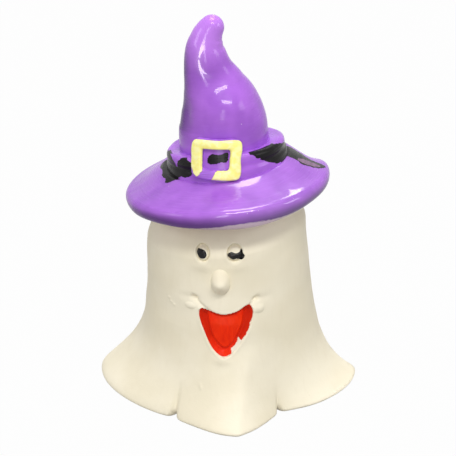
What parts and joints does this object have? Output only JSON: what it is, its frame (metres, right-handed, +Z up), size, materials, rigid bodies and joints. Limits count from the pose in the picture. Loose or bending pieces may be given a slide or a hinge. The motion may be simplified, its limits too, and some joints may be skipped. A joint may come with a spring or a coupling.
{
  "type": "ceramic ghost figure",
  "caption": "Small free-standing ceramic ghost with a draped hollow body, a grinning face and a tilted, curled witch's hat with band and buckle.",
  "frame": {"origin": "on the table under the middle of the hem", "axes": "+Z up along the figure's height, the face looks along -Y, +X to the viewer's right"},
  "size_m": [0.0713, 0.0698, 0.1021],
  "materials": {
    "white_bisque": "satin",
    "black_paint": "gloss",
    "red_glaze": "satin",
    "purple_glaze": "gloss",
    "yellow_glaze": "gloss"
  },
  "bodies": {
    "root": {"ghost_body": "white_bisque", "nose": "white_bisque", "left_eye": "white_bisque", "right_eye": "white_bisque", "left_cheek": "white_bisque", "right_cheek": "white_bisque", "left_pupil": "black_paint", "right_pupil": "black_paint", "hat_band": "black_paint", "mouth_lining": "red_glaze", "tongue": "red_glaze", "hat_brim": "purple_glaze", "hat_crown": "purple_glaze", "hat_buckle": "yellow_glaze"}
  },
  "joints": []
}
